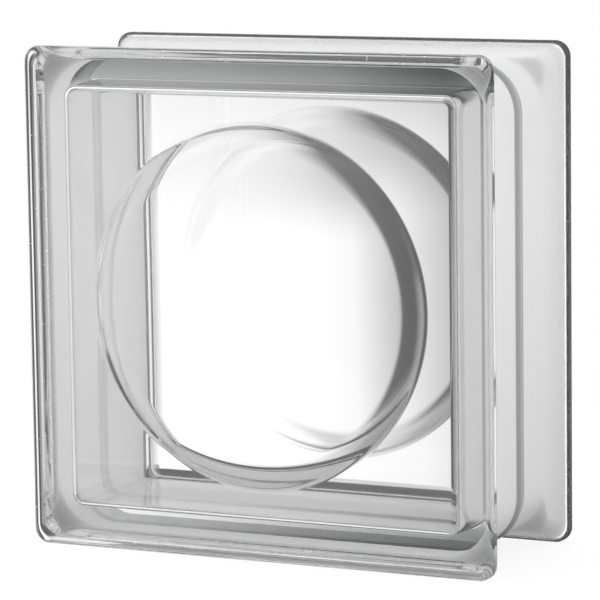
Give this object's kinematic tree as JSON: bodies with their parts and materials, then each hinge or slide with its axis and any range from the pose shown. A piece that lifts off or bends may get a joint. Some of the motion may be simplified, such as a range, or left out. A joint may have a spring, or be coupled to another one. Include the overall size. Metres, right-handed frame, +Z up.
{
  "type": "hollow glass block",
  "caption": "Hollow pressed-glass building block with a round recess inside each face, rounded rims and a recessed mortar channel on its sides.",
  "frame": {"origin": "middle of the underside, between the two faces", "axes": "+X across the width, +Y from the front face to the rear face, +Z up"},
  "size_m": [0.19, 0.08, 0.19],
  "materials": {
    "clear_glass": "clear pressed soda-lime glass, fire-polished, with a faint grey-green tint in its thick rims",
    "edge_coating": "sprayed white keying coat for mortar on the side channel, matte, with a sandy edge"
  },
  "bodies": {
    "root": {"front_half": "clear_glass", "rear_half": "clear_glass"}
  },
  "joints": []
}
